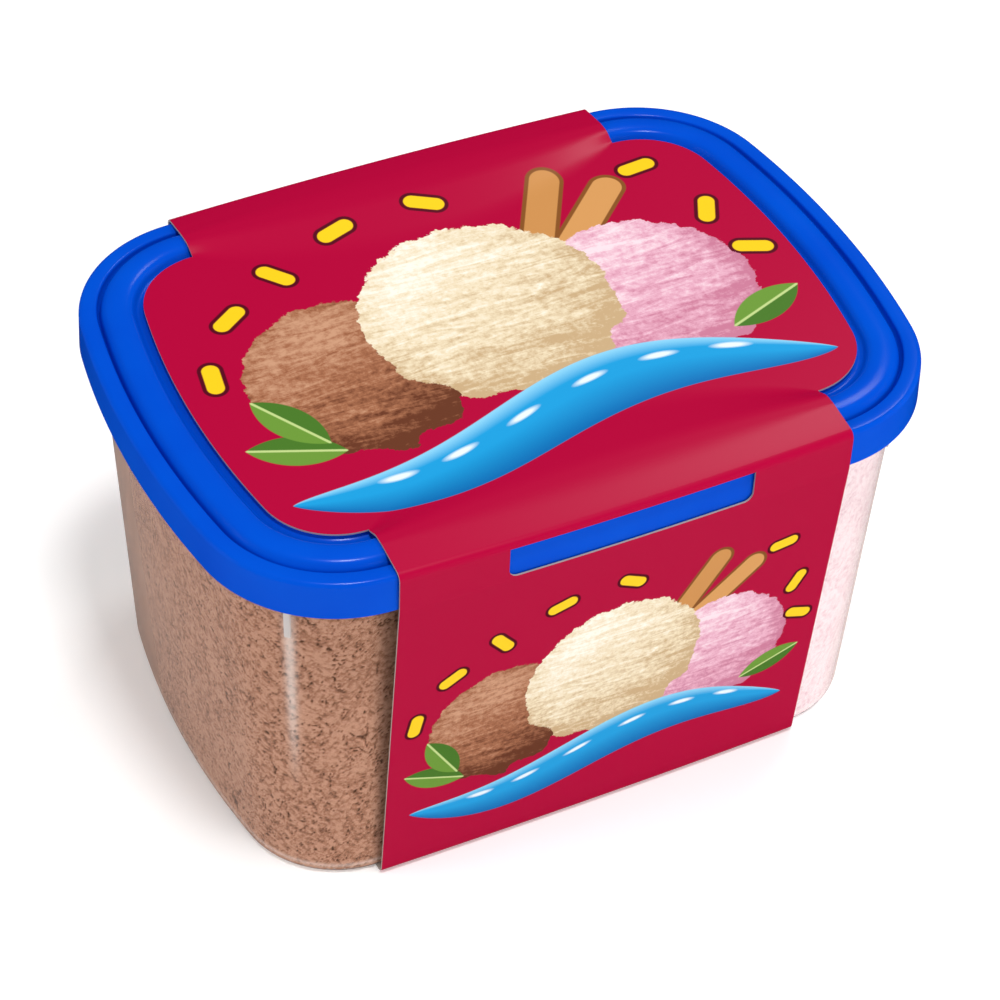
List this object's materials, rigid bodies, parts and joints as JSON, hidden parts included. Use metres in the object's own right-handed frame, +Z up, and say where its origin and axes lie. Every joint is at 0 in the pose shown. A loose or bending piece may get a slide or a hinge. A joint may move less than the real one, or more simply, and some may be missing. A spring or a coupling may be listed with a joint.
{
  "type": "ice cream tub",
  "caption": "Tapering clear tub of striped ice cream with a grooved clip-on lid, held shut by a card sleeve wrapped round its middle; stands flat on a shelf or table.",
  "frame": {"origin": "centre of the sleeve's underside, on the surface that the tub stands on", "axes": "+X along the long side towards the strawberry end, -Y towards the front, +Z up"},
  "size_m": [0.195, 0.144, 0.1138],
  "materials": {
    "clear_tub": "clear, slightly hazy moulded polypropylene",
    "blue_lid": "satin moulded polypropylene",
    "card_sleeve": "coated and printed card with plain cut edges",
    "chocolate": "frozen, finely pitted",
    "vanilla": "frozen, finely pitted",
    "strawberry": "frozen, finely pitted"
  },
  "bodies": {
    "root": {"tub": "clear_tub", "lid": "blue_lid", "sleeve": "card_sleeve", "ice_cream_chocolate": "chocolate", "ice_cream_vanilla": "vanilla", "ice_cream_strawberry": "strawberry"}
  },
  "joints": []
}
